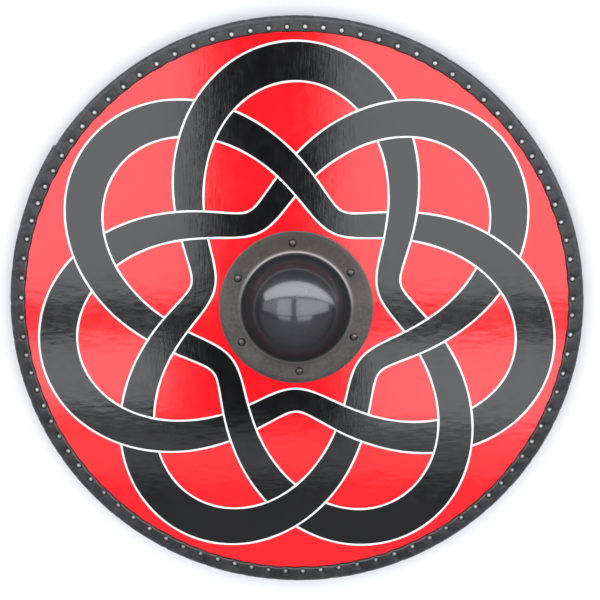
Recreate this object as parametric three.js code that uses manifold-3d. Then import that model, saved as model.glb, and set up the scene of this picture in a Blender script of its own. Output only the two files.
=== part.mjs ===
// A wooden round shield of the centre-grip kind, lying on its back with its painted face up.
//
// The board is one flat wooden disc with a round hand hole in the middle. A folded strip of black
// leather, nailed all round, binds its edge. A hollow steel boss, a dome on a flat flange, covers
// the hand hole in front and is held by six rivets. Behind the hole a wooden grip runs from top to
// bottom across the back, and the boss's top and bottom rivets go through it as well.
//
// Units are millimetres. +Z is up, out of the painted face. +Y points to the top of the face.
// The origin is on the shield's axis, at the grip's flat underside, on which the shield rests.

import * as THREE from "three";
import { mergeVertices } from "three/addons/utils/BufferGeometryUtils.js";
import Module from "manifold-3d";

// ---- Driving dimensions ----------------------------------------------------------------------

const GAP = 0.2; // between pieces that touch

const SHIELD_RADIUS = 380; // over the leather
const BOARD_THICKNESS = 9;
const HAND_HOLE_RADIUS = 60;

const LEATHER = 2.4; // thickness of the strip
const BAND_WIDTH = 20; // how far the leather reaches in over each side of the board
const LAP_ANGLE = 149; // degrees, where the strip's outer end lies over its beginning
const LAP_RISE = 1.6; // how much further out the leather stands there
const LAP_SPREAD = 14; // degrees over which that dies away
const LEATHER_EDGE = [1.2, 0.8]; // chamfer along the leather's cut edge: across, and down

const NAIL_COUNT = 92;
const NAIL_INSET = 6; // from the leather's inner edge
const NAIL_RADIUS = 3.5;
const NAIL_HEIGHT = 1.9;

const FLANGE_RADIUS = 102;
const STEEL = 2; // thickness of the boss
const DOME_RADIUS = 71;
const DOME_HEIGHT = 64;
const DOME_FILLET = 6; // between the dome and its flange
const DOME_END_ANGLE = 80; // degrees from the axis, where the dome meets its fillet
const FLANGE_EDGE = [0.9, 0.7]; // chamfer round the flange: across, and down

const RIVET_COUNT = 6;
const RIVET_CIRCLE = 86;
const RIVET_FIRST_ANGLE = 93; // degrees
const RIVET_SHANK = 2.4;
const RIVET_HEAD = 5.4;
const RIVET_HEAD_HEIGHT = 3.4;
const RIVET_TAIL = 4.2; // the hammered end
const RIVET_TAIL_HEIGHT = 1.6;
const RIVET_HOLE = RIVET_SHANK + GAP;

const GRIP_LENGTH = 640;
const GRIP_WIDTH = 44;
const GRIP_THICKNESS = 18;
const GRIP_HAND_WIDTH = 31; // at the middle, where it is held
const GRIP_HAND_LENGTH = 96;
const GRIP_TAPER = 90; // length over which each end thins out
const GRIP_END_THICKNESS = 8;
const GRIP_END_WIDTH = 28;
const GRIP_ROUND = 4.5; // radius of its two lower edges
const GRIP_HAND_ROUND = 6.5;
const GRIP_HAND_BLEND = 26; // length over which the hand part widens to the full width
const COUNTERBORE_RADIUS = 6;
const COUNTERBORE_DEPTH = 4.5;

// How finely round things are faceted.
const BOSS_SIDES = 40;
const DOME_STEPS = 7;
const FILLET_STEPS = 3;
const RIM_ROUND_STEPS = 4;
const RIVET_SIDES = 12;
const NAIL_SIDES = 6;
const DRILL_SIDES = 16;

// ---- Heights that follow ----------------------------------------------------------------------

const BOARD_BACK = GRIP_THICKNESS + GAP;
const BOARD_FRONT = BOARD_BACK + BOARD_THICKNESS;
const BOARD_RADIUS = SHIELD_RADIUS - LEATHER - GAP;
const BAND_INNER = SHIELD_RADIUS - BAND_WIDTH;
const FLANGE_BACK = BOARD_FRONT + GAP;
const FLANGE_FRONT = FLANGE_BACK + STEEL;

const degrees = THREE.MathUtils.degToRad;

// ---- Solids -----------------------------------------------------------------------------------

const wasm = await Module();
wasm.setup();

// A three.js geometry as a solid that can be cut and joined.
function solid(geometry) {
  const bare = new THREE.BufferGeometry();
  bare.setAttribute("position", geometry.getAttribute("position").clone());
  if (geometry.index) bare.setIndex(geometry.index.clone());
  const merged = mergeVertices(bare, 1e-4);
  return new wasm.Manifold(
    new wasm.Mesh({
      numProp: 3,
      vertProperties: merged.getAttribute("position").array,
      triVerts: new Uint32Array(merged.index.array),
    }),
  );
}

// A solid as a flat-shaded three.js geometry.
function geometryOf(body) {
  const { numProp, vertProperties, triVerts } = body.getMesh();
  const positions = new Float32Array(triVerts.length * 3);
  triVerts.forEach((vertex, i) => {
    positions.set(vertProperties.subarray(vertex * numProp, vertex * numProp + 3), i * 3);
  });
  const geometry = new THREE.BufferGeometry();
  geometry.setAttribute("position", new THREE.BufferAttribute(positions, 3));
  geometry.computeVertexNormals();
  return geometry;
}

// A profile of [radius, height] pairs turned about Z. It runs anticlockwise in that plane: up the
// axis side and down the outside would turn it inside out.
function turned(profile, sides) {
  const points = profile.map(([radius, height]) => new THREE.Vector2(radius, height));
  return new THREE.LatheGeometry(points, sides).rotateX(Math.PI / 2);
}

// A round bar from one height to another, for cutting holes.
function drill(radius, bottom, top, x, y, sides = DRILL_SIDES) {
  const profile = [
    [0, bottom],
    [radius, bottom],
    [radius, top],
    [0, top],
  ];
  return solid(turned(profile, sides).translate(x, y, 0));
}

// The place and angle of each rivet round the boss.
const rivetPlaces = Array.from({ length: RIVET_COUNT }, (_, i) => {
  const angle = degrees(RIVET_FIRST_ANGLE - (360 / RIVET_COUNT) * i);
  const x = RIVET_CIRCLE * Math.cos(angle);
  const y = RIVET_CIRCLE * Math.sin(angle);
  return { x, y, throughGrip: Math.abs(x) < GRIP_HAND_WIDTH / 2 };
});

// ---- Board ------------------------------------------------------------------------------------

function boardGeometry() {
  const disc = turned(
    [
      [0, BOARD_BACK],
      [BOARD_RADIUS, BOARD_BACK],
      [BOARD_RADIUS, BOARD_FRONT],
      [0, BOARD_FRONT],
    ],
    NAIL_COUNT,
  );
  let board = solid(disc).subtract(
    drill(HAND_HOLE_RADIUS, BOARD_BACK - 1, BOARD_FRONT + 1, 0, 0, BOSS_SIDES),
  );
  for (const { x, y } of rivetPlaces) {
    board = board.subtract(drill(RIVET_HOLE, BOARD_BACK - 1, BOARD_FRONT + 1, x, y));
  }
  return geometryOf(board);
}

// ---- Leather rim, with its nail heads ---------------------------------------------------------

// The leather's section: a U that hugs the board's edge, rounded over outside.
function rimSection() {
  const top = BOARD_FRONT + GAP + LEATHER;
  const bottom = BOARD_BACK - GAP - LEATHER;
  const middle = (top + bottom) / 2;
  const half = (top - bottom) / 2;
  const [across, down] = LEATHER_EDGE;
  const round = half - down; // radius of the rounded outside, seen from above
  const outside = Array.from({ length: RIM_ROUND_STEPS + 1 }, (_, i) => {
    const angle = degrees(-90 + (180 / RIM_ROUND_STEPS) * i);
    const radius = SHIELD_RADIUS - round + round * Math.cos(angle);
    return [radius, middle + half * Math.sin(angle)];
  });
  return [
    [BAND_INNER, bottom + down],
    [BAND_INNER + across, bottom],
    ...outside,
    [BAND_INNER + across, top],
    [BAND_INNER, top - down],
    [BAND_INNER, BOARD_FRONT + GAP],
    [BOARD_RADIUS + GAP, BOARD_FRONT + GAP],
    [BOARD_RADIUS + GAP, BOARD_BACK - GAP],
    [BAND_INNER, BOARD_BACK - GAP],
    [BAND_INNER, bottom + down],
  ];
}

// How far the lapped end pushes the leather out, at an angle in degrees.
function lapRise(angle) {
  const past = THREE.MathUtils.euclideanModulo(angle - LAP_ANGLE, 360);
  return past < LAP_SPREAD ? LAP_RISE * (1 - past / LAP_SPREAD) : 0;
}

// Hand-set nails wander a little off their even spacing.
function nailAngle(i) {
  return degrees((360 / NAIL_COUNT) * (i + 0.5 + 0.16 * Math.sin(12.9898 * i)));
}

function nailRadius(i) {
  return BAND_INNER + NAIL_INSET + 0.5 * Math.sin(7.233 * i);
}

function rimGeometry() {
  const strip = turned(rimSection(), NAIL_COUNT);
  const position = strip.getAttribute("position");
  for (let i = 0; i < position.count; i++) {
    const x = position.getX(i);
    const y = position.getY(i);
    const radius = Math.hypot(x, y);
    if (radius < BOARD_RADIUS + 2 * GAP) continue;
    const scale = 1 + lapRise(THREE.MathUtils.radToDeg(Math.atan2(y, x))) / radius;
    position.setXY(i, x * scale, y * scale);
  }
  const seat = BOARD_FRONT + GAP + LEATHER;
  const heads = Array.from({ length: NAIL_COUNT }, (_, i) => {
    const head = turned(
      [
        [0, seat - 1],
        [NAIL_RADIUS * 0.7, seat - 1],
        [NAIL_RADIUS, seat],
        [NAIL_RADIUS * 0.66, seat + NAIL_HEIGHT * 0.75],
        [0, seat + NAIL_HEIGHT],
      ],
      NAIL_SIDES,
    );
    const angle = nailAngle(i);
    const radius = nailRadius(i);
    return solid(head.translate(radius * Math.cos(angle), radius * Math.sin(angle), 0));
  });
  return geometryOf(wasm.Manifold.union([solid(strip), ...heads]));
}

// ---- Steel boss -------------------------------------------------------------------------------

// Points along the dome and its fillet, from the axis out to the flange. The wall's outside is at
// offset 0 and its inside at offset -STEEL.
function domeCurve(offset, base) {
  const radius = DOME_RADIUS + offset;
  const height = DOME_HEIGHT + offset;
  const points = Array.from({ length: DOME_STEPS + 1 }, (_, i) => {
    const angle = degrees((DOME_END_ANGLE * i) / DOME_STEPS);
    return [radius * Math.sin(angle), base + height * Math.cos(angle)];
  });
  const fillet = DOME_FILLET - offset;
  const foot = radius + fillet * 0.9;
  const [startRadius, startHeight] = points[DOME_STEPS];
  const curve = new THREE.CubicBezierCurve(
    new THREE.Vector2(startRadius, startHeight),
    new THREE.Vector2(startRadius + 0.6, base + (startHeight - base) * 0.35),
    new THREE.Vector2(radius + 1, base),
    new THREE.Vector2(foot + 2, base),
  );
  return [...points, ...curve.getPoints(FILLET_STEPS).slice(1).map((p) => [p.x, p.y])];
}

function bossGeometry() {
  const outside = domeCurve(0, FLANGE_FRONT);
  const inside = domeCurve(-STEEL, FLANGE_BACK);
  const [across, down] = FLANGE_EDGE;
  const profile = [
    ...inside,
    [FLANGE_RADIUS, FLANGE_BACK],
    [FLANGE_RADIUS, FLANGE_FRONT - down],
    [FLANGE_RADIUS - across, FLANGE_FRONT],
    ...outside.reverse(),
  ];
  let boss = solid(turned(profile, BOSS_SIDES));
  for (const { x, y } of rivetPlaces) {
    boss = boss.subtract(drill(RIVET_HOLE, FLANGE_BACK - 1, FLANGE_FRONT + 1, x, y));
  }
  return geometryOf(boss);
}

// ---- Rivets -----------------------------------------------------------------------------------

// A domed head on the flange, a shank through everything, and a hammered tail behind. In the grip
// the tail sits in a counterbore, clear of the underside.
function rivetGeometry({ x, y, throughGrip }) {
  const seat = FLANGE_FRONT + GAP;
  const tailTop = (throughGrip ? COUNTERBORE_DEPTH : BOARD_BACK) - GAP;
  const head = [0, 30, 60].map((step) => {
    const angle = degrees(step);
    return [RIVET_HEAD * Math.cos(angle), seat + RIVET_HEAD_HEIGHT * Math.sin(angle)];
  });
  const profile = [
    [0, tailTop - RIVET_TAIL_HEIGHT],
    [RIVET_TAIL * 0.8, tailTop - RIVET_TAIL_HEIGHT],
    [RIVET_TAIL, tailTop - RIVET_TAIL_HEIGHT * 0.5],
    [RIVET_TAIL, tailTop],
    [RIVET_SHANK, tailTop],
    [RIVET_SHANK, seat],
    ...head,
    [0, seat + RIVET_HEAD_HEIGHT],
  ];
  return turned(profile, RIVET_SIDES).translate(x, y, 0);
}

// ---- Grip -------------------------------------------------------------------------------------

// The grip's width and thickness at a distance from the middle of its length.
function gripSize(distance) {
  const { lerp, smoothstep } = THREE.MathUtils;
  const handEnd = GRIP_HAND_LENGTH / 2;
  const hand = smoothstep(distance, handEnd, handEnd + GRIP_HAND_BLEND);
  const end = smoothstep(distance, GRIP_LENGTH / 2 - GRIP_TAPER, GRIP_LENGTH / 2);
  return {
    width: lerp(lerp(GRIP_HAND_WIDTH, GRIP_WIDTH, hand), GRIP_END_WIDTH, end),
    thickness: lerp(GRIP_THICKNESS, GRIP_END_THICKNESS, end),
    roundness: lerp(GRIP_HAND_ROUND, GRIP_ROUND, hand) * lerp(1, 0.5, end),
  };
}

// The grip's section, flat against the board and with its two lower edges rounded off.
function gripSection({ width, thickness, roundness }) {
  const half = width / 2;
  const low = GRIP_THICKNESS - thickness;
  const corner = (side) =>
    [0, 45, 90].map((step) => {
      const angle = degrees(step);
      return [
        side * (half - roundness + roundness * Math.cos(angle)),
        low + roundness - roundness * Math.sin(angle),
      ];
    });
  return [[half, GRIP_THICKNESS], [-half, GRIP_THICKNESS], ...corner(-1), ...corner(1).reverse()];
}

function gripGeometry() {
  const half = GRIP_LENGTH / 2;
  const handEnd = GRIP_HAND_LENGTH / 2;
  const breaks = [
    0,
    ...[0, 0.35, 0.7, 1].map((share) => handEnd + share * GRIP_HAND_BLEND),
    ...[1, 0.75, 0.5, 0.25, 0].map((share) => half - share * GRIP_TAPER),
  ];
  const stations = [...breaks.slice(1).reverse().map((y) => -y), ...breaks];
  const rows = stations.map((y) => gripSection(gripSize(Math.abs(y))).map(([x, z]) => [x, y, z]));
  const sides = rows[0].length;
  const vertex = (row, side) => row * sides + (side % sides);
  const faces = [];
  for (let row = 0; row + 1 < rows.length; row++) {
    for (let side = 0; side < sides; side++) {
      const [a, b] = [vertex(row, side), vertex(row, side + 1)];
      const [c, d] = [vertex(row + 1, side + 1), vertex(row + 1, side)];
      faces.push(a, c, b, a, d, c);
    }
  }
  const lastRow = rows.length - 1;
  for (let side = 1; side + 1 < sides; side++) {
    faces.push(vertex(0, 0), vertex(0, side), vertex(0, side + 1));
    faces.push(vertex(lastRow, 0), vertex(lastRow, side + 1), vertex(lastRow, side));
  }
  const lofted = new THREE.BufferGeometry();
  lofted.setAttribute("position", new THREE.Float32BufferAttribute(rows.flat(2), 3));
  lofted.setIndex(faces);
  let grip = solid(lofted);
  for (const { x, y } of rivetPlaces.filter((place) => place.throughGrip)) {
    grip = grip
      .subtract(drill(RIVET_HOLE, -1, GRIP_THICKNESS + 1, x, y))
      .subtract(drill(COUNTERBORE_RADIUS, -1, COUNTERBORE_DEPTH, x, y));
  }
  return geometryOf(grip);
}

// ---- Assembly ---------------------------------------------------------------------------------

const finishes = {
  paintedWood: { color: 0xc8141c, roughness: 0.32, metalness: 0 },
  leather: { color: 0x1d1d1f, roughness: 0.5, metalness: 0 },
  blackenedSteel: { color: 0x4a4746, roughness: 0.42, metalness: 0.9 },
  rivetSteel: { color: 0x2c2b2b, roughness: 0.4, metalness: 0.9 },
  bareWood: { color: 0xa9834f, roughness: 0.62, metalness: 0 },
};

function piece(name, geometry, finish) {
  const mesh = new THREE.Mesh(geometry, new THREE.MeshStandardMaterial(finishes[finish]));
  mesh.name = name;
  return mesh;
}

const shield = new THREE.Group();
shield.name = "round_shield";
shield.add(piece("board", boardGeometry(), "paintedWood"));
shield.add(piece("leather_rim", rimGeometry(), "leather"));
shield.add(piece("boss", bossGeometry(), "blackenedSteel"));
shield.add(piece("grip", gripGeometry(), "bareWood"));
rivetPlaces.forEach((place, i) => {
  shield.add(piece(`boss_rivet_${i + 1}`, rivetGeometry(place), "rivetSteel"));
});

export default shield;
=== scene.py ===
"""A wooden round shield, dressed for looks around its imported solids.

The shield lies on its back. Its painted face looks up along +Z, and +Y is the top of the face.
Everything is in metres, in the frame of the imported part.
"""

import math

import bpy
import numpy as np
from mathutils import Matrix, Vector
from mathutils.geometry import delaunay_2d_cdt


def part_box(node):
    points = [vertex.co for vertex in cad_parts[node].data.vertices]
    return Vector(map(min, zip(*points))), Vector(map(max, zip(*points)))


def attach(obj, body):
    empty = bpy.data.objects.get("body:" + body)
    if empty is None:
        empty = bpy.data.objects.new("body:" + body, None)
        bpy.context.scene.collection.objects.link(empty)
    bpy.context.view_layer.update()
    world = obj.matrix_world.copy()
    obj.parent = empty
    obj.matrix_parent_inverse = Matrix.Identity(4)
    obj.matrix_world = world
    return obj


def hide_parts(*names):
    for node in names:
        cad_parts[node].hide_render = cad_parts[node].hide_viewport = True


bl_info = {
    "name": "Wooden round shield",
    "version": (1, 0, 0),
    "blender": (4, 5, 0),
    "location": "View3D > Sidebar > Shield",
    "description": "Models and finishes a painted round shield, piece by piece",
    "category": "Add Mesh",
}

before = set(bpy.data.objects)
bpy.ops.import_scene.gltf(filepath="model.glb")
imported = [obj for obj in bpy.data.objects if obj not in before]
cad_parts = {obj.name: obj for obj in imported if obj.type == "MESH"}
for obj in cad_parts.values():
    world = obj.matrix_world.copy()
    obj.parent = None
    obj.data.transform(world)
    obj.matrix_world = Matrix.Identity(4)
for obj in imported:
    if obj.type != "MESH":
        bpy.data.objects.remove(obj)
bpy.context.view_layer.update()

MM = 0.001
TAU = math.tau

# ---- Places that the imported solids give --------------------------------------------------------

BOARD_LOW, BOARD_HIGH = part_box("board")
BOSS_LOW, BOSS_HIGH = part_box("boss")
_, GRIP_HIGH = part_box("grip")

BOARD_RADIUS = BOARD_HIGH.x
BOARD_BACK = BOARD_LOW.z
BOARD_FRONT = BOARD_HIGH.z
FLANGE_RADIUS = BOSS_HIGH.x
FLANGE_BACK = BOSS_LOW.z
BOSS_TOP = BOSS_HIGH.z
GRIP_TOP = GRIP_HIGH.z
GRIP_END = GRIP_HIGH.y

RIVETS = sorted(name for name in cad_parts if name.startswith("boss_rivet_"))

# ---- Sizes of the forms inside the solids --------------------------------------------------------

GAP = 0.2 * MM  # between pieces that touch
HAND_HOLE_RADIUS = 60 * MM
LEATHER = 2.4 * MM
BAND_WIDTH = 20 * MM
LAP_ANGLE = 146  # degrees
LAP_RISE = 1.6 * MM
LAP_SPREAD = 14  # degrees
RAW_EDGE = 0.9 * MM  # how far the strip's thin cut edge runs in from its full thickness
NAIL_INSET = 4.8 * MM  # from the strip's inner edge
STEEL = 2 * MM
DOME_RADIUS = 71 * MM
DOME_END_ANGLE = 80  # degrees from the axis, where the dome meets its fillet
DOME_FILLET = 6 * MM
GRIP_HAND_WIDTH = 31 * MM
GRIP_END_WIDTH = 28 * MM
GRIP_END_THICKNESS = 8 * MM
GRIP_HAND_END = 48 * MM  # from the middle
GRIP_HAND_BLEND = 26 * MM
GRIP_TAPER = 90 * MM
TAIL_BORE_RADIUS = 6 * MM
TAIL_BORE_DEPTH = 4.5 * MM

RIM_RADIUS = BOARD_RADIUS + LEATHER + GAP
BAND_INNER = RIM_RADIUS - BAND_WIDTH
RIM_TOP = BOARD_FRONT + GAP + LEATHER
RIM_BOTTOM = BOARD_BACK - GAP - LEATHER
FLANGE_FRONT = FLANGE_BACK + STEEL
DOME_HEIGHT = BOSS_TOP - FLANGE_FRONT


# ---- Sizes and colours that a user would change -------------------------------------------------


def colour(name, description, default):
    return bpy.props.FloatVectorProperty(
        name=name, description=description, default=default, size=3, min=0, max=1, subtype="COLOR"
    )


def length(name, description, default):
    return bpy.props.FloatProperty(
        name=name,
        description=description,
        default=default,
        min=0,
        subtype="DISTANCE",
        unit="LENGTH",
    )


class SHIELD_PG_sizes(bpy.types.PropertyGroup):
    """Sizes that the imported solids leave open."""

    nail_count: bpy.props.IntProperty(
        name="Rim nails", description="Nails round the leather rim", default=92, min=12
    )
    nail_radius: length("Nail radius", "Radius of a rim nail's head", 4.1 * MM)
    nail_height: length("Nail height", "How far a nail's head stands off the leather", 1.9 * MM)
    pucker: length("Leather pucker", "How deep the leather is drawn in at each nail", 1.4 * MM)
    outline: length("Outline width", "Width of the white line round the painted plait", 2.6 * MM)
    paint: length("Paint thickness", "Thickness of the paint on the board", 0.14 * MM)


class SHIELD_PG_colours(bpy.types.PropertyGroup):
    """Base colours of the finishes, in linear values."""

    red: colour("Red paint", "Ground of the painted face", (0.86, 0.003, 0.009))
    black: colour("Black paint", "Body of the painted plait", (0.0035, 0.0035, 0.0042))
    white: colour("White paint", "Outlines of the painted plait", (0.86, 0.86, 0.87))
    leather: colour("Leather", "Black leather of the rim", (0.013, 0.013, 0.014))
    steel: colour("Steel", "Blackened steel of the boss", (0.115, 0.108, 0.104))
    nail: colour("Nail steel", "Bright tops of the rim nails", (0.47, 0.47, 0.48))
    wood: colour("Bare wood", "Unpainted back and grip", (0.42, 0.27, 0.14))
    floor: colour("Floor", "Plain pale floor and backdrop", (0.80, 0.80, 0.81))


# ---- Modelling helpers ---------------------------------------------------------------------------


def clear_selection():
    if bpy.context.object and bpy.context.object.mode != "OBJECT":
        bpy.ops.object.mode_set(mode="OBJECT")
    bpy.ops.object.select_all(action="DESELECT")


def named(name):
    """The active object, with its mesh, under a name of its own."""
    piece = bpy.context.object
    piece.name = name
    piece.data.name = name
    return piece


def choose(*pieces):
    clear_selection()
    for piece in pieces:
        piece.select_set(True)
    bpy.context.view_layer.objects.active = pieces[-1]


def settle(piece):
    """Puts the piece's place into its mesh, so that its object sits at the origin."""
    choose(piece)
    bpy.ops.object.transform_apply(location=True, rotation=True, scale=True)


def spun(name, profile, steps):
    """A profile of (radius, height) points, extruded point by point and spun round Z."""
    clear_selection()
    start_radius, start_height = profile[0]
    bpy.ops.mesh.primitive_plane_add(size=MM, location=(start_radius, 0, start_height))
    piece = named(name)
    bpy.ops.object.mode_set(mode="EDIT")
    bpy.ops.mesh.select_all(action="SELECT")
    bpy.ops.mesh.merge(type="CENTER")
    for (radius, height), (next_radius, next_height) in zip(profile, profile[1:]):
        step = (next_radius - radius, 0, next_height - height)
        bpy.ops.mesh.extrude_region_move(TRANSFORM_OT_translate={"value": step})
    bpy.ops.mesh.select_all(action="SELECT")
    bpy.ops.mesh.spin(steps=steps, angle=TAU, center=(0, 0, 0), axis=(0, 0, 1))
    bpy.ops.mesh.select_all(action="SELECT")
    bpy.ops.mesh.remove_doubles(threshold=0.01 * MM)
    bpy.ops.mesh.normals_make_consistent(inside=False)
    bpy.ops.object.mode_set(mode="OBJECT")
    settle(piece)
    return piece


def smooth(piece, angle=35):
    choose(piece)
    bpy.ops.object.shade_smooth_by_angle(angle=math.radians(angle))


def arc(centre, radius, start, end, steps):
    """Points (x, y) on an arc, its angles in degrees."""
    angles = (math.radians(start + (end - start) * i / steps) for i in range(steps + 1))
    return [(centre[0] + radius * math.cos(a), centre[1] + radius * math.sin(a)) for a in angles]


def points_of(piece):
    flat = np.empty(len(piece.data.vertices) * 3)
    piece.data.vertices.foreach_get("co", flat)
    return flat.reshape(-1, 3)


def move_points(piece, points):
    piece.data.vertices.foreach_set("co", points.astype(np.float32).ravel())
    piece.data.update()


def mark(piece, name, values):
    """Stores a number for each point, which a finish can read."""
    layer = piece.data.attributes.new(name, "FLOAT", "POINT")
    layer.data.foreach_set("value", np.asarray(values, np.float32))


def hold(piece, slot, *nodes):
    """Rides the piece on the shield and hides the solids that it stands for. The slot is not used."""
    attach(piece, "root")
    if nodes:
        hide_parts(*nodes)


# ---- Material helpers ----------------------------------------------------------------------------


class Finish:
    """A node material round one Principled shader, put together a layer at a time."""

    def __init__(self, name, **values):
        self.material = bpy.data.materials.new(name)
        self.material.use_nodes = True
        self.nodes = self.material.node_tree.nodes
        self.links = self.material.node_tree.links
        self.shader = self.nodes["Principled BSDF"]
        for socket, value in values.items():
            self.shader.inputs[socket.replace("_", " ")].default_value = value
        self.place = self.add("ShaderNodeTexCoord").outputs["Object"]

    def add(self, kind, inputs=None, **settings):
        node = self.nodes.new(kind)
        for key, value in settings.items():
            setattr(node, key, value)
        for key, value in (inputs or {}).items():
            if isinstance(value, bpy.types.NodeSocket):
                self.links.new(value, node.inputs[key])
            else:
                node.inputs[key].default_value = value
        return node

    def stretched(self, scale):
        """Object coordinates, stretched: a larger number means finer detail along that axis."""
        return self.add("ShaderNodeMapping", {"Vector": self.place, "Scale": scale}).outputs[0]

    def noise(self, scale, detail=3.0, rough=0.5, distortion=0.0):
        """Noise with about this many spots to the metre along X, Y and Z."""
        inputs = {
            "Vector": self.stretched(scale if isinstance(scale, tuple) else (scale,) * 3),
            "Scale": 1.0,
            "Detail": detail,
            "Roughness": rough,
            "Distortion": distortion,
        }
        return self.add("ShaderNodeTexNoise", inputs).outputs["Fac"]

    def cells(self, scale, feature="F1", randomness=1.0):
        inputs = {"Vector": self.place, "Scale": scale, "Randomness": randomness}
        return self.add("ShaderNodeTexVoronoi", inputs, feature=feature).outputs["Distance"]

    def along(self, axis):
        """The X, Y or Z coordinate."""
        return self.add("ShaderNodeSeparateXYZ", {"Vector": self.place}).outputs[axis]

    def radius(self):
        """The distance from the shield's axis."""
        flat = self.add("ShaderNodeVectorMath", operation="MULTIPLY")
        self.links.new(self.place, flat.inputs[0])
        flat.inputs[1].default_value = (1, 1, 0)
        length = self.add("ShaderNodeVectorMath", operation="LENGTH")
        self.links.new(flat.outputs["Vector"], length.inputs[0])
        return length.outputs["Value"]

    def attribute(self, name):
        return self.add("ShaderNodeAttribute", attribute_name=name).outputs["Fac"]

    def span(self, value, low, high, to_low=0.0, to_high=1.0):
        """Maps low..high to to_low..to_high, clamped."""
        inputs = {
            "Value": value,
            "From Min": low,
            "From Max": high,
            "To Min": to_low,
            "To Max": to_high,
        }
        return self.add("ShaderNodeMapRange", inputs).outputs["Result"]

    def maths(self, operation, *values):
        node = self.add("ShaderNodeMath", operation=operation)
        for socket, value in zip(node.inputs, values):
            if isinstance(value, bpy.types.NodeSocket):
                self.links.new(value, socket)
            else:
                socket.default_value = value
        return node.outputs[0]

    def mix(self, share, first, second, blend="MIX"):
        """Mixes two colours, each a tuple or a socket."""
        node = self.add("ShaderNodeMix", data_type="RGBA", blend_type=blend)
        sockets = (node.inputs[0], node.inputs[6], node.inputs[7])
        for socket, value in zip(sockets, (share, first, second)):
            if isinstance(value, bpy.types.NodeSocket):
                self.links.new(value, socket)
            else:
                socket.default_value = value if socket.type == "VALUE" else (*value, 1.0)
        return node.outputs[2]

    def bump(self, *layers):
        """Bumps, each (height socket, depth in metres), one on top of the other."""
        normal = None
        for height, depth in layers:
            inputs = {"Height": height, "Strength": 1.0, "Distance": depth}
            if normal:
                inputs["Normal"] = normal
            normal = self.add("ShaderNodeBump", inputs).outputs["Normal"]
        self.links.new(normal, self.shader.inputs["Normal"])

    def drive(self, **sockets):
        for socket, value in sockets.items():
            self.links.new(value, self.shader.inputs[socket.replace("_", " ")])

    def dress(self, piece):
        piece.data.materials.clear()
        piece.data.materials.append(self.material)


def tint(rgb, factor):
    return tuple(min(1.0, channel * factor) for channel in rgb)


# ---- Finishes ------------------------------------------------------------------------------------


def gloss_paint(name, rgb, roughness, streak):
    """Brushed paint under a clear gloss, with fine upright streaks and slow waves."""
    finish = Finish(name, Roughness=roughness, IOR=1.55)
    brush = finish.noise((330.0, 42.0, 1.0), detail=3.0, rough=0.6, distortion=0.5)
    waves = finish.noise((22.0, 38.0, 1.0), detail=2.0)
    ripple = finish.noise((60.0, 150.0, 1.0), detail=2.0)
    cloud = finish.noise((9.0, 7.0, 1.0), detail=5.0, rough=0.6)
    shade = finish.mix(finish.span(cloud, 0.3, 0.7), tint(rgb, 0.92), tint(rgb, 1.06))
    shade = finish.mix(finish.span(brush, 0.35, 0.65, 0.0, 0.25), shade, tint(rgb, 0.86))
    patches = finish.noise((60.0, 40.0, 1.0), detail=4.0, rough=0.65)
    finish.drive(
        Base_Color=shade,
        Roughness=finish.span(patches, 0.3, 0.7, roughness * 0.8, roughness * 1.3),
    )
    finish.bump((waves, 0.14 * MM), (ripple, 0.05 * MM), (brush, streak))
    return finish


def bare_wood(name, rgb):
    """Straight grain along Y, with darker growth lines, pores and an oiled, uneven sheen."""
    finish = Finish(name, Roughness=0.6)
    warp = finish.noise((7.0, 1.1, 7.0), detail=3.0)
    grain = finish.noise((95.0, 3.2, 95.0), detail=5.0, rough=0.6, distortion=0.6)
    pores = finish.noise((900.0, 30.0, 900.0), detail=2.0)
    rings = finish.maths("SINE", finish.maths("MULTIPLY", finish.maths("ADD", warp, grain), 44.0))
    shade = finish.mix(finish.span(grain, 0.3, 0.7), tint(rgb, 0.72), tint(rgb, 1.15))
    shade = finish.mix(finish.span(rings, 0.2, 1.0, 0.0, 0.34), shade, tint(rgb, 0.5))
    shade = finish.mix(finish.span(pores, 0.58, 0.72, 0.0, 0.5), shade, tint(rgb, 0.35))
    finish.drive(Base_Color=shade, Roughness=finish.span(grain, 0.3, 0.7, 0.5, 0.68))
    finish.bump((grain, 0.20 * MM), (pores, 0.10 * MM))
    return finish


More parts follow.
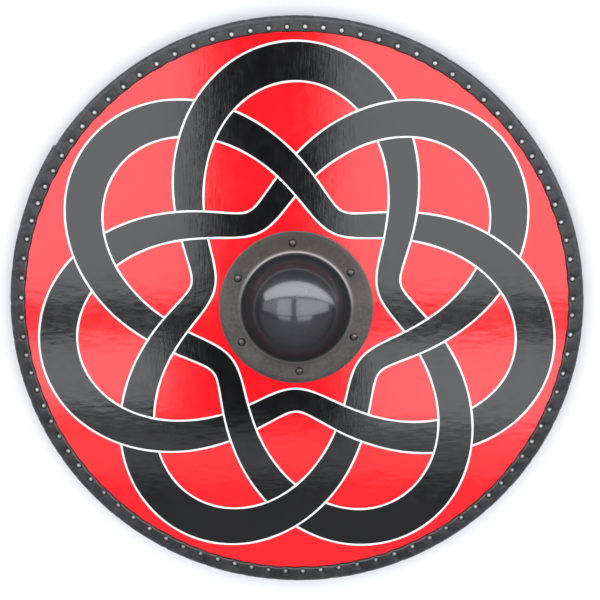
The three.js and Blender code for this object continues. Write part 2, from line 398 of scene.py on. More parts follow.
def black_leather(name, rgb):
    """Satin leather: pebbling, wrinkles, a paler outer rounding of wear and painted sheen, a painted
    highlight by the inner edge and a cut edge darkened as bare leather and painted shadow.
    """
    finish = Finish(name, IOR=1.43)
    radius = finish.radius()
    pebble = finish.cells(1100.0)
    wrinkle = finish.noise((150.0, 150.0, 60.0), detail=4.0, rough=0.6, distortion=0.8)
    cloud = finish.noise(30.0, detail=3.0)
    shade = finish.mix(finish.span(cloud, 0.3, 0.7), tint(rgb, 0.55), tint(rgb, 1.5))
    shade = finish.mix(finish.span(wrinkle, 0.52, 0.72, 0.0, 0.8), shade, tint(rgb, 2.6))
    # Painted sheen with wear: the outer rounding is paler, partly from rub and partly painted as the
    # sheen that it catches.
    bead_rub_and_sheen = finish.maths(
        "MULTIPLY",
        finish.span(radius, RIM_RADIUS - 7 * MM, RIM_RADIUS - 3.5 * MM),
        finish.span(wrinkle, 0.35, 0.65, 0.1, 0.85),
    )
    shade = finish.mix(bead_rub_and_sheen, shade, tint(rgb, 4.6))
    # Painted shadow with the bare cut leather: the thin cut edge is near black, the dark line where
    # the strip meets the paint.
    raw_edge_and_shadow = finish.span(radius, BAND_INNER - 0.1 * MM, BAND_INNER + 0.3 * MM, 1.0, 0.0)
    # Painted highlight: a pale line just in from the inner edge, where the leather's edge would catch
    # the light.
    lip_highlight = finish.span(radius, BAND_INNER + 1.4 * MM, BAND_INNER + 2.2 * MM, 1.0, 0.0)
    shade = finish.mix(lip_highlight, shade, tint(rgb, 4.2))
    shade = finish.mix(raw_edge_and_shadow, shade, tint(rgb, 0.15))
    worn = finish.span(cloud, 0.3, 0.7, 0.36, 0.5)
    worn = finish.maths("SUBTRACT", worn, finish.span(lip_highlight, 0, 1, 0, 0.18))
    finish.drive(Base_Color=shade, Roughness=finish.maths("MAXIMUM", worn, raw_edge_and_shadow))
    finish.bump((wrinkle, 0.5 * MM), (pebble, 0.06 * MM))
    return finish


def blackened_steel(name, rgb):
    """Oil-blackened steel: a hazy dome, oiled on its crown, and a dull mottled flange."""
    finish = Finish(name, Metallic=0.85, Specular_Tint=(0.3, 0.3, 0.32, 1.0), Coat_Roughness=0.11)
    radius, rise = finish.radius(), finish.along("Z")
    flange = finish.span(radius, DOME_RADIUS, DOME_RADIUS + 3 * MM)
    bloom = finish.noise(26.0, detail=6.0, rough=0.65)
    mottle = finish.noise(210.0, detail=4.0, rough=0.7)
    scratch = finish.noise((1500.0, 60.0, 300.0), detail=2.0, distortion=0.4)
    specks = finish.span(finish.cells(130.0), 0.04, 0.09, 1.0, 0.0)
    chosen = finish.span(finish.noise(90.0, detail=1.0), 0.58, 0.62)
    upper = finish.span(rise, FLANGE_FRONT + 0.3 * DOME_HEIGHT, FLANGE_FRONT + 0.8 * DOME_HEIGHT)
    # Painted against a reflection: the lower wall is tinted less red than the crown, so the red of the
    # paint that it reflects shows less.
    wall_shade = (rgb[0] * 0.46, rgb[1] * 0.61, rgb[2] * 0.66)
    dome_shade = finish.mix(upper, wall_shade, (rgb[0] * 0.50, rgb[1] * 0.53, rgb[2] * 0.60))
    flange_shade = finish.mix(finish.span(bloom, 0.35, 0.65), tint(rgb, 0.52), tint(rgb, 0.70))
    flange_shade = finish.mix(finish.span(mottle, 0.45, 0.7, 0.0, 0.6), flange_shade, tint(rgb, 0.98))
    # The flange turns browner and darker towards the top of the face.
    browner_darker_top = finish.span(finish.along("Y"), 0.2 * FLANGE_RADIUS, 0.9 * FLANGE_RADIUS, 0.0, 0.8)
    flange_shade = finish.mix(browner_darker_top, flange_shade, (rgb[0] * 0.42, rgb[1] * 0.39, rgb[2] * 0.36))
    # The flange's outer edge is paler: partly wear and partly painted highlight.
    edge_wear_and_highlight = finish.span(radius, FLANGE_RADIUS - 1.2 * MM, FLANGE_RADIUS - 0.3 * MM, 0, 0.6)
    # Painted highlight: a pale ring in the crease round the dome's foot, also made less rough there.
    crease = finish.span(radius, DOME_RADIUS + 2 * MM, DOME_RADIUS + 6 * MM, 1.0, 0.0)
    edge_wear_and_crease_highlight = finish.maths("MAXIMUM", edge_wear_and_highlight, crease)
    flange_shade = finish.mix(edge_wear_and_crease_highlight, flange_shade, tint(rgb, 2.0))
    shade = finish.mix(flange, dome_shade, flange_shade)
    shade = finish.mix(finish.span(scratch, 0.67, 0.77, 0.0, 0.4), shade, tint(rgb, 1.6))
    shade = finish.mix(finish.maths("MULTIPLY", specks, chosen), shade, tint(rgb, 3.5))
    low_wall = finish.span(upper, 0, 1, 0.32, 0)
    wall = finish.maths("MULTIPLY", low_wall, finish.span(flange, 0, 1, 1, 0))
    dull = finish.maths("ADD", finish.span(bloom, 0.3, 0.7, 0.38, 0.46), wall)
    # The oil lies on the crown, and reaches a little lower towards the top of the face.
    oil = finish.maths("ADD", rise, finish.maths("MULTIPLY", finish.along("Y"), 0.25))
    oil_start, oil_full = (FLANGE_FRONT + share * DOME_HEIGHT for share in (0.56, 0.85))
    finish.drive(
        Base_Color=shade,
        Roughness=finish.maths("SUBTRACT", dull, finish.span(crease, 0, 1, 0, 0.14)),
        Coat_Weight=finish.span(oil, oil_start, oil_full),
    )
    dents = finish.noise(17.0, detail=2.0)
    finish.bump((dents, 0.10 * MM), (finish.maths("MULTIPLY", mottle, flange), 0.11 * MM))
    return finish


def rivet_steel(name, rgb):
    """Blackened heads, worn a little paler in patches."""
    finish = Finish(name, Metallic=0.9, Roughness=0.42)
    mottle = finish.noise(420.0, detail=3.0, rough=0.6)
    shade = finish.mix(finish.span(mottle, 0.4, 0.65), tint(rgb, 0.6), tint(rgb, 1.1))
    finish.drive(Base_Color=shade)
    finish.bump((mottle, 0.05 * MM))
    return finish


def nail_metal(name, rgb):
    """Blackened nails: each crown bright, partly worn and partly a painted highlight, and each foot
    near black, partly blackening and partly painted shade.
    """
    finish = Finish(name, Metallic=1.0, Roughness=0.36)
    wear = finish.noise(700.0, detail=3.0)
    # Painted highlight with wear: bright at the crown, near black towards the foot.
    bright = finish.maths("POWER", finish.attribute("crown"), 6.0)
    bright = finish.maths("MULTIPLY", bright, finish.span(wear, 0.3, 0.7, 0.75, 1.1))
    finish.drive(Base_Color=finish.mix(bright, tint(rgb, 0.03), rgb))
    finish.bump((wear, 0.03 * MM))
    return finish


def plain_floor(name, rgb):
    finish = Finish(name, Roughness=0.7)
    cloud = finish.noise(3.0, detail=4.0)
    shade = finish.mix(finish.span(cloud, 0.3, 0.7), tint(rgb, 0.985), tint(rgb, 1.01))
    finish.drive(Base_Color=shade)
    return finish


# ---- The painted plait ---------------------------------------------------------------------------

# One ribbon, closed on itself, swings in and out as it runs round the boss: a Turk's head plait.
BIGHTS = 7  # turns at the outside
LEADS = 3  # times round the boss
PLAIT_TOP = 90  # degrees, where one outer turn points
PLAIT_MIDDLE = 224  # radius about which the ribbon swings, in millimetres, as all of the plait is
PLAIT_SWING = 98
RIBBON_NARROW = 34  # width at the inner turns
RIBBON_WIDE = 54  # width at the outer turns
STEPS_A_LEAD = 420
WAVER = 0.12  # how far the hand that drew the lines strayed


def plait_rows():
    """Rows of (swing angle, x, y, width) along the ribbon, from one outer turn back to it."""
    turn = np.linspace(0, TAU * LEADS, STEPS_A_LEAD * LEADS + 1)
    swing = BIGHTS * turn / LEADS
    out = np.cos(swing)
    radius = PLAIT_MIDDLE + PLAIT_SWING * out
    angle = turn + math.radians(PLAIT_TOP)
    width = RIBBON_NARROW + (RIBBON_WIDE - RIBBON_NARROW) * (out + 1) / 2
    return np.column_stack((swing, radius * np.cos(angle), radius * np.sin(angle), width))


def across_of(rows):
    """The unit vector across the ribbon at each row, the same at both ends of the closed path."""
    centre = rows[:-1, 1:3]
    along = np.roll(centre, -1, axis=0) - np.roll(centre, 1, axis=0)
    along /= np.linalg.norm(along, axis=1, keepdims=True)
    across = np.stack((-along[:, 1], along[:, 0]), axis=1)
    return np.vstack((across, across[:1]))


def edges_of(rows, inset):
    """The ribbon's left and right edges, drawn in by inset."""
    waver = WAVER * (np.sin(5 * rows[:, 0:1]) + np.sin(12 * rows[:, 0:1] + inset))
    half = rows[:, 3:4] / 2 - inset + waver
    across = across_of(rows) * half
    return rows[:, 1:3] + across, rows[:, 1:3] - across


def ribbon(rows, inset):
    """The quads of the ribbon drawn in by inset at both edges, and whether each passes over."""
    left, right = edges_of(rows, inset)
    quads = np.stack((left[:-1], left[1:], right[1:], right[:-1]), axis=1)
    middle = (rows[:-1, 0] + rows[1:, 0]) / 2
    # Over and under take turns: each crossing lies between a turn and the middle of the swing.
    return quads, np.sin(2 * middle) > 0


def within(quad, spots):
    """Which spots lie in a convex quad."""
    sides = np.roll(quad, -1, axis=0) - quad
    reach = spots[:, None, :] - quad[None]
    turn = sides[:, 0] * reach[..., 1] - sides[:, 1] * reach[..., 0]
    return (turn >= 0).all(axis=1) | (turn <= 0).all(axis=1)


def classify(spots, rows, line):
    """0 for red, 1 for black and 2 for white at each spot, by the stretch on top there."""
    tones = np.zeros(len(spots), int)
    whole, overs = ribbon(rows, 0)
    body, _ = ribbon(rows, line)
    for level in (False, True):
        for quads, tone in ((whole[overs == level], 2), (body[overs == level], 1)):
            for quad in quads:
                tones[within(quad, spots)] = tone
    return tones


def painted_faces(line, inner, outer):
    """Cuts a ring of the face along every painted edge: its points, triangles and tones."""
    rows = plait_rows()
    loops = [edge[:-1] for inset in (0, line) for edge in edges_of(rows, inset)]
    loops += [arc((0, 0), radius, 0, 360, 180)[:-1] for radius in (inner, outer)]
    points, edges = [], []
    for loop in loops:
        first = len(points)
        points += [Vector((x, y)) for x, y in loop]
        edges += [(first + i, first + (i + 1) % len(loop)) for i in range(len(loop))]
    cut = delaunay_2d_cdt(points, edges, [], 0, 1e-4)
    points = np.array([tuple(point) for point in cut[0]])
    triangles = np.array([face for face in cut[2]])
    middles = points[triangles].mean(axis=1)
    radii = np.linalg.norm(middles, axis=1)
    in_ring = (radii > inner) & (radii < outer)
    triangles, middles = triangles[in_ring], middles[in_ring]
    return points, triangles, classify(middles, rows, line)


def film(name, points, triangles, top, thickness):
    """A flat film of paint over the given triangles, its top at a height."""
    used, numbers = np.unique(triangles, return_inverse=True)
    corners = np.column_stack((points[used] * MM, np.full(len(used), top)))
    mesh = bpy.data.meshes.new(name)
    mesh.from_pydata(corners.tolist(), [], numbers.reshape(-1, 3).tolist())
    piece = bpy.data.objects.new(name, mesh)
    bpy.context.collection.objects.link(piece)
    choose(piece)
    bpy.ops.object.mode_set(mode="EDIT")
    bpy.ops.mesh.select_all(action="SELECT")
    bpy.ops.mesh.normals_make_consistent(inside=False)
    bpy.ops.object.mode_set(mode="OBJECT")
    if mesh.polygons[0].normal.z < 0:
        mesh.flip_normals()
    bpy.ops.object.modifier_add(type="SOLIDIFY")
    solidify = piece.modifiers[-1]
    solidify.thickness = thickness
    solidify.offset = -1
    bpy.ops.object.modifier_apply(modifier=solidify.name)
    return piece


# ---- Leather rim ---------------------------------------------------------------------------------

FOLD = 0.95 * MM  # depth of the creases that run out from the nails
RIM_STEPS = 15  # along the strip, for each nail


def nail_spots(count):
    """The angle and radius of each rim nail: hand-set, so they wander a little."""
    for i in range(count):
        angle = math.radians(360 / count * (i + 0.5 + 0.16 * math.sin(12.9898 * i)))
        yield angle, BAND_INNER + NAIL_INSET + 0.5 * MM * math.sin(7.233 * i)


def lap(angles):
    """1 at the strip's lapped end, dying away after it, and 0 before it. Angles in radians."""
    past = np.mod(np.degrees(angles) - LAP_ANGLE, 360)
    return np.where(past < LAP_SPREAD, 1 - past / LAP_SPREAD, 0)


def leather_lift(angles, radii, count, pucker):
    """How far the leather's outside stands above its plain form at each angle and radius."""
    nails = np.array(list(nail_spots(count)))
    nearest = np.floor(np.mod(angles, TAU) / TAU * count).astype(int) % count
    lift = np.zeros(len(angles))
    for offset in (-1, 0, 1):
        number = (nearest + offset) % count
        angle, radius = nails[number].T
        aside = radii * np.sin(angles - angle)
        beyond = radii * np.cos(angles - angle) - radius
        lift -= pucker * np.exp(-((np.hypot(aside, beyond) / (4.8 * MM)) ** 2))
        crease = aside - beyond * (0.55 + 0.4 * np.sin(3.7 * number))
        depth = FOLD * (0.6 + 0.4 * np.sin(9.1 * number)) * np.clip(beyond / (3 * MM), 0, 1)
        lift -= depth * np.exp(-((crease / (2.6 * MM)) ** 2))
    phase = angles * count
    swell = 0.3 * pucker * (1 + np.cos(phase)) * np.exp(-(((radii - BAND_INNER) / (7 * MM)) ** 2))
    drift = np.sin(angles * 41 + radii / MM * 0.3) * np.sin(angles * 13 + 1.0)
    hollow = np.exp(-(((radii - RIM_RADIUS + 8.5 * MM) / (2.6 * MM)) ** 2))
    return lift + swell + 0.16 * MM * drift - FOLD * 0.5 * hollow * (0.7 + 0.5 * drift)


def rim_profile():
    """The leather's section: a U that hugs the board's edge, rounded over outside."""
    middle = (RIM_TOP + RIM_BOTTOM) / 2
    half = (RIM_TOP - RIM_BOTTOM) / 2
    depth = 8.6 * MM  # of the rounded outside, across the band
    round_centre = RIM_RADIUS - depth
    cut_edge = [(-RAW_EDGE, LEATHER), (0, 1.5 * MM), (0.3 * MM, 0.9 * MM), (1.2 * MM, 0.35 * MM)]
    flat = np.linspace(BAND_INNER + 2.1 * MM, round_centre, 9)[:-1]
    outside = [
        (round_centre + depth * math.cos(a), middle + half * math.sin(a))
        for a in np.linspace(math.pi / 2, -math.pi / 2, 17)
    ]
    return [
        *((BAND_INNER + inward, RIM_TOP - down) for inward, down in cut_edge),
        *((radius, RIM_TOP) for radius in flat),
        *outside,
        *((radius, RIM_BOTTOM) for radius in reversed(flat)),
        *((BAND_INNER + inward, RIM_BOTTOM + up) for inward, up in reversed(cut_edge)),
        (BOARD_RADIUS + GAP, BOARD_BACK - GAP),
        (BOARD_RADIUS + GAP, BOARD_FRONT + GAP),
        (BAND_INNER - RAW_EDGE, BOARD_FRONT + GAP),
    ]


def draw_in(piece, count, steps, pucker):
    """Puckers the leather round its nails, lifts its lapped end and roughens its cut edge."""
    points = points_of(piece)
    angles = np.arctan2(points[:, 1], points[:, 0])
    radii = np.hypot(points[:, 0], points[:, 1])
    half = (RIM_TOP - RIM_BOTTOM) / 2
    side = (points[:, 2] - (RIM_TOP + RIM_BOTTOM) / 2) / half  # 1 on top, -1 below
    outer = (np.abs(side) > 0.72) | (radii > BOARD_RADIUS + 2 * GAP)
    lift = leather_lift(angles, radii, count, pucker) + LEATHER * 0.45 * lap(angles)
    points[:, 2] += np.where(outer, lift * np.clip(side * 1.6, -1, 1), 0)
    wave = 0.35 * np.cos(angles * count) + 0.3 * np.sin(angles * 37) * np.sin(angles * 11)
    teeth = 0.4 * np.cos(angles * steps / 2) * (0.7 + 0.3 * np.sin(angles * 211))
    bulge = LAP_RISE * lap(angles) + lift * 0.5
    shift = np.where(radii < BAND_INNER + 0.9 * MM, wave * MM, 0)
    shift += np.where(radii < BAND_INNER - 0.5 * RAW_EDGE, teeth * MM, 0)
    shift += np.where(radii > BOARD_RADIUS + 2 * GAP, bulge, 0)
    points[:, :2] *= (1 + shift / radii)[:, None]
    move_points(piece, points)


def rim_nail_profile(radius, height):
    """A domed head with a thin upright foot, let a little into the leather."""
    foot = 0.3 * MM
    dome = [
        (radius * math.sin(a), foot + (height - foot) * math.cos(a))
        for a in np.linspace(0, math.pi / 2, 6)
    ]
    return [*dome, (radius, -0.9 * MM), (0, -0.9 * MM)]


def nail_tip_profile():
    """A nail's tapered end, from its bend to its point."""
    return [
        (0, 0),
        (0.7 * MM, 0.1 * MM),
        (1 * MM, 0.7 * MM),
        (0.9 * MM, 4 * MM),
        (0.4 * MM, 6.4 * MM),
        (0, 7 * MM),
    ]


def copies(piece, places, name):
    """A copy of the piece at each place, given as a matrix, all joined to one piece."""
    made = []
    for place in places:
        twin = piece.copy()
        twin.data = piece.data.copy()
        twin.matrix_world = place
        bpy.context.collection.objects.link(twin)
        made.append(twin)
    bpy.data.objects.remove(piece)
    choose(*made)
    bpy.ops.object.transform_apply(location=True, rotation=True, scale=True)
    bpy.ops.object.join()
    return named(name)


# ---- Boss and rivets -----------------------------------------------------------------------------


def dome_curve(offset, base, steps=22):
    """From the axis out to the flange. Offset 0 is the outside, and -STEEL the inside."""
    radius, height = DOME_RADIUS + offset, DOME_HEIGHT + offset
    angles = np.radians(np.linspace(0, DOME_END_ANGLE, steps))
    dome = [(radius * math.sin(a), base + height * math.cos(a)) for a in angles]
    (start_radius, start_height), foot = dome[-1], radius + 0.9 * (DOME_FILLET - offset)
    handles = np.array(
        [
            (start_radius, start_height),
            (start_radius + 0.6 * MM, base + (start_height - base) * 0.35),
            (radius + 1 * MM, base),
            (foot + 2 * MM, base),
        ]
    )
    fillet = []
    for t in np.linspace(0, 1, 9)[1:]:
        weights = ((1 - t) ** 3, 3 * t * (1 - t) ** 2, 3 * t**2 * (1 - t), t**3)
        fillet.append(tuple(np.dot(weights, handles)))
    return dome + fillet


def boss_profile():
    edge = FLANGE_RADIUS
    flange = np.linspace(edge - 20 * MM, edge - 0.9 * MM, 4)
    return [
        *dome_curve(0, FLANGE_FRONT),
        *((radius, FLANGE_FRONT) for radius in flange),
        (edge - 0.35 * MM, FLANGE_FRONT - 0.2 * MM),
        (edge, FLANGE_FRONT - 0.7 * MM),
        (edge, FLANGE_BACK),
        *reversed(dome_curve(-STEEL, FLANGE_BACK)),
    ]


def rivet_profile(low, high, radius):
    """A domed head on the flange, a shank through everything and a hammered tail behind."""
    seat = FLANGE_FRONT + GAP * 0.2
    shank, tail = 2.4 * MM, 4.2 * MM
    rise = high - seat - 0.2 * MM
    ball = (radius**2 + rise**2) / (2 * rise)
    head = [
        (ball * math.sin(a), high - ball * (1 - math.cos(a)))
        for a in np.linspace(0, math.asin(radius / ball), 9)
    ]
    return [
        *head,
        (radius, seat),
        (shank, seat),
        (shank, low + 1.6 * MM),
        (tail, low + 1.6 * MM),
        (tail, low + 0.8 * MM),
        (tail * 0.8, low),
        (0, low),
    ]


# ---- Grip ----------------------------------------------------------------------------------------


def ease(value, start, end):
    """Runs smoothly from 0 at the start to 1 at the end."""
    share = min(1.0, max(0.0, (value - start) / (end - start)))
    return share * share * (3 - 2 * share)


def grip_size(distance):
    """The grip's width and thickness at a distance from its middle."""
    hand = ease(distance, GRIP_HAND_END, GRIP_HAND_END + GRIP_HAND_BLEND)
    end = ease(distance, GRIP_END - GRIP_TAPER, GRIP_END)
    width = GRIP_HAND_WIDTH + (2 * GRIP_HIGH.x - GRIP_HAND_WIDTH) * hand
    width += (GRIP_END_WIDTH - width) * end
    return width, GRIP_TOP + (GRIP_END_THICKNESS - GRIP_TOP) * end


def grip_section(width, thickness, edge):
    """Points (x, z): flat against the board, with rounded edges below."""
    half, low = width / 2, GRIP_TOP - thickness
    right = arc((half - edge, low + edge), edge, -90, 0, 7)
    left = arc((edge - half, low + edge), edge, 180, 270, 7)
    shoulder = GRIP_TOP - MM
    return [
        (-half + MM, GRIP_TOP),
        (-half, shoulder),
        *left,
        *right,
        (half, shoulder),
        (half - MM, GRIP_TOP),
    ]


def shaped_grip():
    """A section drawn out along Y, and resized at each station."""
    taper = [GRIP_END - GRIP_TAPER * i / 8 for i in range(9)]
    hand = [GRIP_HAND_END + GRIP_HAND_BLEND * i / 6 for i in range(7)]
    half = sorted([*taper, *hand, GRIP_HAND_END / 2, (taper[-1] + hand[-1]) / 2])
    stations = [*(-y for y in reversed(half)), 0.0, *half]
    width, thickness = grip_size(GRIP_END)
    section = grip_section(width, thickness, 3.5 * MM)
    clear_selection()
    bpy.ops.mesh.primitive_circle_add(vertices=len(section), radius=MM, fill_type="NGON")
    piece = named("wooden_grip")
    move_points(piece, np.array([(x, stations[0], z) for x, z in section]))
    bpy.ops.object.mode_set(mode="EDIT")
    bpy.ops.mesh.select_all(action="SELECT")
    for start, end in zip(stations, stations[1:]):
        bpy.ops.mesh.extrude_region_move(TRANSFORM_OT_translate={"value": (0, end - start, 0)})
        next_width, next_thickness = grip_size(abs(end))
        stretch = (next_width / width, 1, next_thickness / thickness)
        bpy.ops.transform.resize(value=stretch, center_override=(0, end, GRIP_TOP))
        width, thickness = next_width, next_thickness
    bpy.ops.mesh.select_all(action="SELECT")
    bpy.ops.mesh.normals_make_consistent(inside=False)
    bpy.ops.object.mode_set(mode="OBJECT")
    settle(piece)
    return piece


def finish_with(piece, kind, **settings):
    """Adds a modifier and applies it."""
    choose(piece)
    bpy.ops.object.modifier_add(type=kind)
    modifier = piece.modifiers[-1]
    for key, value in settings.items():
        setattr(modifier, key, value)
    bpy.ops.object.modifier_apply(modifier=modifier.name)


def bore(piece, x, y):
    """Sinks a round pocket into the grip's underside."""
    clear_selection()
    depth = 2 * TAIL_BORE_DEPTH
    bpy.ops.mesh.primitive_cylinder_add(
        vertices=40, radius=TAIL_BORE_RADIUS, depth=depth, location=(x, y, 0)
    )
    drill = bpy.context.object
    finish_with(piece, "BOOLEAN", operation="DIFFERENCE", object=drill)
    bpy.data.objects.remove(drill)


# ---- Operators -----------------------------------------------------------------------------------


class SHIELD_OT_board(bpy.types.Operator):
    """Makes the bare wooden board with its round hand hole"""

    bl_idname = "shield.board"
    bl_label = "Board"

    def execute(self, context):
        colours = context.scene.shield_colours
        bevel = 0.8 * MM
        profile = [
            (HAND_HOLE_RADIUS + bevel, BOARD_FRONT),
            (BOARD_RADIUS, BOARD_FRONT),
            (BOARD_RADIUS, BOARD_BACK),
            (HAND_HOLE_RADIUS + bevel, BOARD_BACK),
            (HAND_HOLE_RADIUS, BOARD_BACK + bevel),
            (HAND_HOLE_RADIUS, BOARD_FRONT - bevel),
            (HAND_HOLE_RADIUS + bevel, BOARD_FRONT),
        ]
        board = spun("board_wood", profile, 184)
        smooth(board)
        bare_wood("bare wood of the board", colours.wood).dress(board)
        hold(board, "bare_wood", "board")
        return {"FINISHED"}


class SHIELD_OT_paint(bpy.types.Operator):
    """Lays the painted plait on the board, a film of paint for each colour"""

    bl_idname = "shield.paint"
    bl_label = "Paint"

    def execute(self, context):
        sizes, colours = context.scene.shield_sizes, context.scene.shield_colours
        inner, outer = HAND_HOLE_RADIUS / MM + 4, BOARD_RADIUS / MM - 4
        points, triangles, tones = painted_faces(sizes.outline / MM, inner, outer)
        gloss, streak = 0.095, 0.04 * MM
        looks = (
            ("paint_red", "red_paint", gloss_paint("red paint", colours.red, gloss, streak)),
            ("paint_black", "black_paint", gloss_paint("black paint", colours.black, gloss, streak)),
            ("paint_white", "white_paint", gloss_paint("white paint", colours.white, 0.3, streak / 2)),
        )
        top = BOARD_FRONT + sizes.paint
        for tone, (name, slot, finish) in enumerate(looks):
            piece = film(name, points, triangles[tones == tone], top, sizes.paint)
            finish.dress(piece)
            hold(piece, slot)
        return {"FINISHED"}


class SHIELD_OT_rim(bpy.types.Operator):
    """Wraps the board's edge in puckered leather"""

    bl_idname = "shield.rim"
    bl_label = "Leather rim"

    def execute(self, context):
        sizes, colours = context.scene.shield_sizes, context.scene.shield_colours
        steps = sizes.nail_count * RIM_STEPS
        rim = spun("leather_band", rim_profile(), steps)
        draw_in(rim, sizes.nail_count, steps, sizes.pucker)
        smooth(rim, 50)
        black_leather("black leather", colours.leather).dress(rim)
        hold(rim, "black_leather", "leather_rim")
        return {"FINISHED"}


class SHIELD_OT_nails(bpy.types.Operator):
    """Sets the domed nails round the rim, and their clenched ends behind"""

    bl_idname = "shield.nails"
    bl_label = "Rim nails"

    def execute(self, context):
        sizes, colours = context.scene.shield_sizes, context.scene.shield_colours
        spots = list(nail_spots(sizes.nail_count))
        angles, radii = np.array(spots).T
        heights = RIM_TOP + leather_lift(angles, radii, sizes.nail_count, sizes.pucker)
        heights += LEATHER * 0.45 * lap(angles) + 0.25 * MM
        head = spun("nail_head", rim_nail_profile(sizes.nail_radius, sizes.nail_height), 14)
        mark(head, "crown", np.clip(points_of(head)[:, 2] / sizes.nail_height, 0, 1))
        tip = spun("nail_tip", nail_tip_profile(), 8)
        mark(tip, "crown", np.full(len(tip.data.vertices), 0.85))
        head_places, tip_places = [], []
        for i, ((angle, radius), height) in enumerate(zip(spots, heights)):
            x, y = radius * math.cos(angle), radius * math.sin(angle)
            lean_x = Matrix.Rotation(0.06 * math.sin(5 * i), 4, "X")
            lean = lean_x @ Matrix.Rotation(0.06 * math.cos(7 * i), 4, "Y")
            head_places.append(Matrix.Translation((x, y, height)) @ lean)
            turn = Matrix.Rotation(angle + math.pi / 2 + 0.2 * math.sin(11 * i), 4, "Z")
            flat = Matrix.Rotation(math.radians(99), 4, "Y")
            back = RIM_TOP + RIM_BOTTOM - height
            tip_places.append(Matrix.Translation((x, y, back)) @ turn @ flat)
        heads = copies(head, head_places, "nail_heads")
        tips = copies(tip, tip_places, "nail_tips")
        choose(tips, heads)
        bpy.ops.object.join()
        nails = named("rim_nails")
        smooth(nails, 50)
        nail_metal("nail steel", colours.nail).dress(nails)
        hold(nails, "nail_steel")
        return {"FINISHED"}


class SHIELD_OT_boss(bpy.types.Operator):
    """Makes the domed steel boss with its flat flange"""

    bl_idname = "shield.boss"
    bl_label = "Boss"

    def execute(self, context):
        colours = context.scene.shield_colours
        boss = spun("steel_boss", boss_profile(), 144)
        smooth(boss)
        blackened_steel("blackened steel", colours.steel).dress(boss)
        hold(boss, "blackened_steel", "boss")
        return {"FINISHED"}


class SHIELD_OT_rivets(bpy.types.Operator):
    """Puts a domed rivet at each of the boss's six holes"""

    bl_idname = "shield.rivets"
    bl_label = "Boss rivets"

    def execute(self, context):
        colours = context.scene.shield_colours
        finish = rivet_steel("rivet steel", colours.steel)
        for node in RIVETS:
            low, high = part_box(node)
            middle = (low + high) / 2
            profile = rivet_profile(low.z, high.z, (high.x - low.x) / 2)
            rivet = spun(node.replace("boss_rivet", "rivet"), profile, 24)
            rivet.location = (middle.x, middle.y, 0)
            settle(rivet)
            smooth(rivet)
            finish.dress(rivet)
            hold(rivet, "rivet_steel", node)
        return {"FINISHED"}


class SHIELD_OT_grip(bpy.types.Operator):
    """Shapes the waisted wooden grip, with pockets for two rivet tails"""

    bl_idname = "shield.grip"
    bl_label = "Grip"

    def execute(self, context):
        colours = context.scene.shield_colours
        grip = shaped_grip()
        finish_with(grip, "BEVEL", width=1.2 * MM, segments=3, angle_limit=math.radians(50))
        for node in RIVETS:
            low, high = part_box(node)
            middle = (low + high) / 2
            if abs(middle.x) < GRIP_HAND_WIDTH / 2:
                bore(grip, middle.x, middle.y)
        smooth(grip, 40)
        bare_wood("bare wood of the grip", tint(colours.wood, 0.9)).dress(grip)
        hold(grip, "bare_wood", "grip")
        return {"FINISHED"}


# ---- Stage ---------------------------------------------------------------------------------------

CAMERA_PLACE = Vector((0.0399, 0.3319, 1.9353))
CAMERA_AIM = Vector((0.0053, 0.0091, 0.0227))
CAMERA_LENS = 87.8
CAMERA_SENSOR = 36.0

# Soft panels: (name, place, size x, size y, tilt about X in degrees, radiance, what they light).
# The fill lights every dull surface from overhead. The others show only in gloss: wide panels with
# a gap between them, lower and dimmer ones under those, and a long window behind the shield's top.
PANELS = [
    ("fill", (0.0, 0.1, 3.4), 9.0, 9.0, 0, 1.76, "diffuse"),
    ("far left panel", (-4.42, 0.343, 2.6), 5.0, 1.546, 0, 1.4, "gloss"),
    ("left panel", (-1.10, 0.343, 2.6), 1.52, 1.546, 0, 2.9, "gloss"),
    ("right panel", (3.55, 0.343, 2.6), 6.99, 1.546, 0, 2.9, "gloss"),
    ("low left panel", (-1.10, -0.66, 2.6), 1.30, 0.24, 0, 3.1, "gloss"),
    ("low right panel", (0.86, -0.68, 2.6), 1.45, 0.30, 0, 3.1, "gloss"),
    ("low middle panel", (0.0, -0.92, 2.6), 3.0, 0.16, 0, 1.1, "gloss"),
    ("low glow", (0.0, -11.0, 2.6), 24.0, 19.9, 0, 0.42, "gloss"),
    ("window", (12.0, 2.06, 2.13), 36.0, 1.66, -41.1, 4.6, "gloss"),
]


def panel(name, place, size_x, size_y, tilt, radiance, lights):
    """A soft rectangular light that faces down. Its power is set from the radiance it shows."""
    clear_selection()
    bpy.ops.object.light_add(type="AREA", location=place, rotation=(math.radians(tilt), 0, 0))
    lamp = bpy.context.object
    lamp.name = name
    lamp.data.shape = "RECTANGLE"
    lamp.data.size, lamp.data.size_y = size_x, size_y
    lamp.data.energy = radiance * math.pi * size_x * size_y
    lamp.data.color = (0.97, 0.98, 1.0)
    lamp.visible_camera = False
    lamp.visible_diffuse = lights == "diffuse"
    lamp.visible_glossy = lights == "gloss"
    return lamp


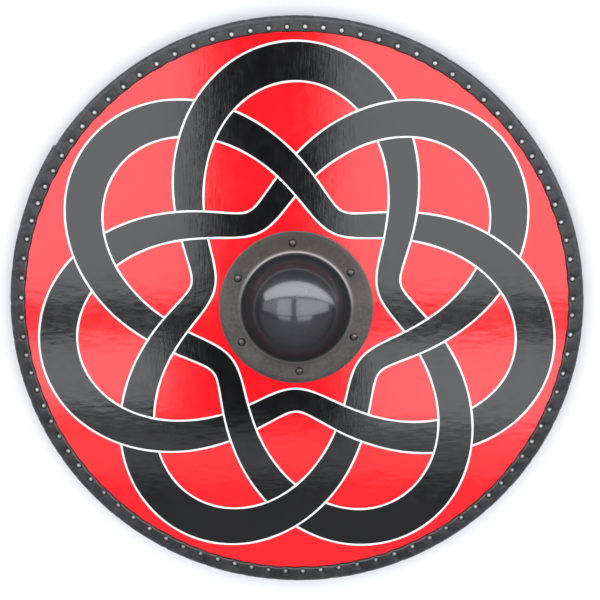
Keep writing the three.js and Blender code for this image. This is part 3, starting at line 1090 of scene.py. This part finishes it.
class SHIELD_OT_stage(bpy.types.Operator):
    """Sets a pale floor and backdrop, soft overhead light and the camera"""

    bl_idname = "shield.stage"
    bl_label = "Stage"

    def execute(self, context):
        colours = context.scene.shield_colours
        finish = plain_floor("pale floor", colours.floor)
        floor = spun("floor", [(0.0, 0.0), (2.4, 0.0), (4.8, 0.0)], 96)
        backdrop = spun("backdrop", [*arc((4.8, 1.4), 1.4, -90, 0, 12), (6.2, 3.2)], 96)
        for piece in (floor, backdrop):
            if piece.data.polygons[0].normal.z < 0:
                piece.data.flip_normals()
            smooth(piece, 60)
            finish.dress(piece)
        backdrop.visible_glossy = False
        for values in PANELS:
            panel(*values)
        world = bpy.data.worlds.new("studio")
        world.use_nodes = True
        world.node_tree.nodes["Background"].inputs["Color"].default_value = (0.9, 0.95, 1.0, 1.0)
        world.node_tree.nodes["Background"].inputs["Strength"].default_value = 0.06
        context.scene.world = world
        context.scene.view_settings.view_transform = "Standard"
        forward = (CAMERA_AIM - CAMERA_PLACE).normalized()
        right = forward.cross(Vector((0, 1, 0))).normalized()
        up = right.cross(forward)
        bpy.ops.object.camera_add()
        camera = bpy.context.object
        turn = Matrix((right, up, -forward)).transposed().to_4x4()
        camera.matrix_world = Matrix.Translation(CAMERA_PLACE) @ turn
        camera.data.lens = CAMERA_LENS
        camera.data.sensor_width = CAMERA_SENSOR
        context.scene.camera = camera
        return {"FINISHED"}


# ---- Panel and registration ----------------------------------------------------------------------

STEPS = (
    SHIELD_OT_board,
    SHIELD_OT_paint,
    SHIELD_OT_rim,
    SHIELD_OT_nails,
    SHIELD_OT_boss,
    SHIELD_OT_rivets,
    SHIELD_OT_grip,
    SHIELD_OT_stage,
)


class SHIELD_PT_pieces(bpy.types.Panel):
    """Lists the shield's pieces, sizes and colours"""

    bl_idname = "SHIELD_PT_pieces"
    bl_label = "Wooden round shield"
    bl_space_type = "VIEW_3D"
    bl_region_type = "UI"
    bl_category = "Shield"

    def draw(self, context):
        for step in STEPS:
            self.layout.operator(step.bl_idname)
        for group in (context.scene.shield_sizes, context.scene.shield_colours):
            for key in type(group).__annotations__:
                self.layout.prop(group, key)


CLASSES = (SHIELD_PG_sizes, SHIELD_PG_colours, *STEPS, SHIELD_PT_pieces)


def register():
    for cls in CLASSES:
        bpy.utils.register_class(cls)
    bpy.types.Scene.shield_sizes = bpy.props.PointerProperty(type=SHIELD_PG_sizes)
    bpy.types.Scene.shield_colours = bpy.props.PointerProperty(type=SHIELD_PG_colours)


def unregister():
    del bpy.types.Scene.shield_colours
    del bpy.types.Scene.shield_sizes
    for cls in reversed(CLASSES):
        bpy.utils.unregister_class(cls)


def main():
    register()
    for step in STEPS:
        group, name = step.bl_idname.split(".")
        getattr(getattr(bpy.ops, group), name)()


if __name__ == "__main__":
    main()
